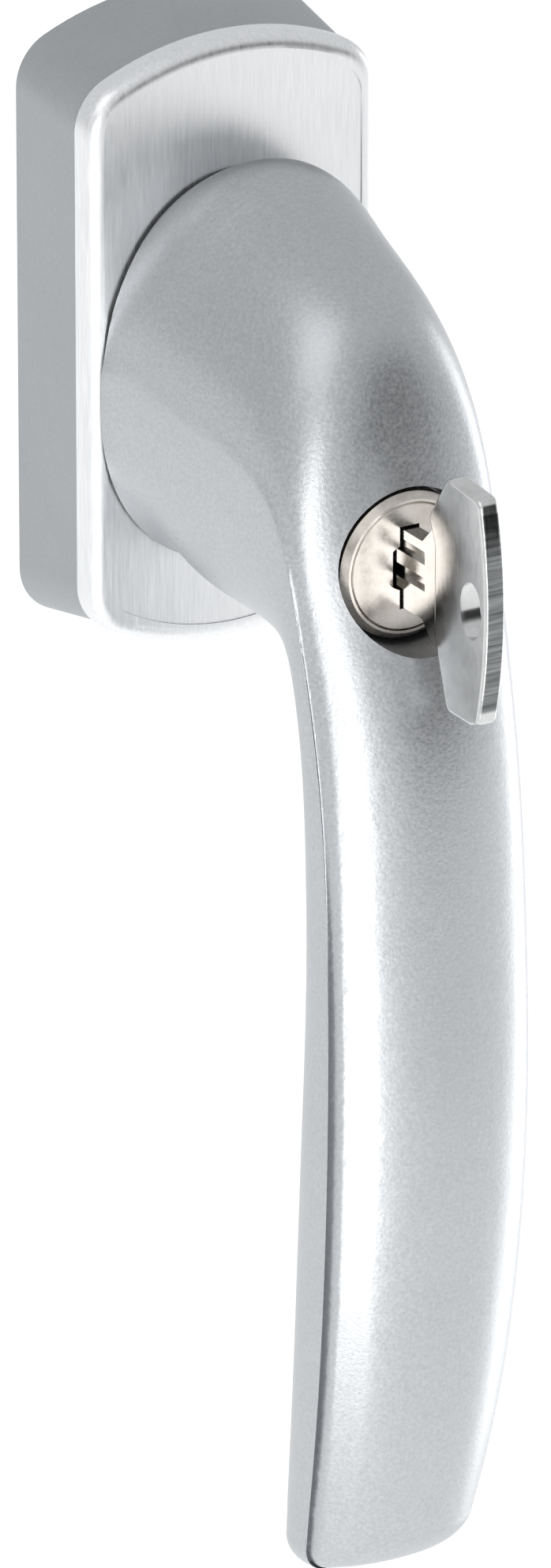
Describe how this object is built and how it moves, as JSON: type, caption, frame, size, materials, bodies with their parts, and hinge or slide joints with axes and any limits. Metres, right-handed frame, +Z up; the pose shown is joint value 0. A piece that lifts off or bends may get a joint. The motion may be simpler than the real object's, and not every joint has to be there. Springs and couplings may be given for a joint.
{
  "type": "tilt and turn window handle",
  "caption": "Satin silver window handle with a bowed lever, a tall rose, a square spindle, and a cylinder lock in the neck with its key.",
  "frame": {"origin": "where the spindle's axis crosses the sash face", "axes": "+Z up, +X to the right seen from the room, +Y out of the back of the rose along the spindle, into the sash; the lever hangs down at rest"},
  "size_m": [0.0366, 0.0919, 0.1681],
  "materials": {
    "anodised_silver": "satin anodised, fine bead-blasted grain",
    "brushed_silver": "anodised with upright brushing",
    "casing_grey": "matt grey anodised",
    "carrier_metal": "as die-cast",
    "steel": "zinc plated",
    "spring_steel": "oiled",
    "nickel": "satin nickel plate",
    "bush_plastic": "moulded acetal",
    "wafer_brass": "stamped"
  },
  "bodies": {
    "rose": {"base_casing": "casing_grey", "carrier_plate": "carrier_metal", "front_cover": "brushed_silver", "strike_plate": "steel", "rear_plate": "steel", "guide_bush": "bush_plastic", "mounting_screws": "steel", "detent_spring_left": "spring_steel", "detent_spring_right": "spring_steel"},
    "handle": {"lever": "anodised_silver", "spindle": "steel", "spindle_pin": "spring_steel", "retaining_clip": "spring_steel", "thrust_washer": "steel", "detent_disc": "steel", "lock_housing": "nickel", "set_screw": "spring_steel"},
    "plug": {"lock_plug": "nickel", "wafers": "wafer_brass", "wafer_springs": "spring_steel", "plug_clip": "spring_steel", "cam_barrel": "steel"},
    "bolt": {"locking_bolt": "steel"},
    "key": {"key": "nickel"},
    "ball_left": {"detent_ball_left": "steel"},
    "ball_right": {"detent_ball_right": "steel"}
  },
  "joints": [
    {"name": "handle_turn", "type": "hinge", "parent": "rose", "child": "handle", "pos_m": [0, 0, 0], "axis": [0, -1, 0], "range_deg": [0, 180]},
    {"name": "plug_turn", "type": "hinge", "parent": "handle", "child": "plug", "pos_m": [0, -0.0506, -0.0139], "axis": [0, 1, 0], "range_deg": [0, 90]},
    {"name": "bolt_slide", "type": "slide", "parent": "handle", "child": "bolt", "axis": [0, 1, 0], "range_m": [0, 0.005]},
    {"name": "key_slide", "type": "slide", "parent": "plug", "child": "key", "axis": [0, -1, 0], "range_m": [0, 0.024]},
    {"name": "ball_left_slide", "type": "slide", "parent": "rose", "child": "ball_left", "axis": [1, 0, 0], "range_m": [0, 0.0009], "deforming": ["detent_spring_left"]},
    {"name": "ball_right_slide", "type": "slide", "parent": "rose", "child": "ball_right", "axis": [-1, 0, 0], "range_m": [0, 0.0009], "deforming": ["detent_spring_right"]}
  ],
  "couplings": [
    {"joint": "bolt_slide", "follows": "plug_turn", "m_per_rad": 0.0031831},
    {"joint": "ball_right_slide", "follows": "ball_left_slide", "ratio": 1}
  ]
}
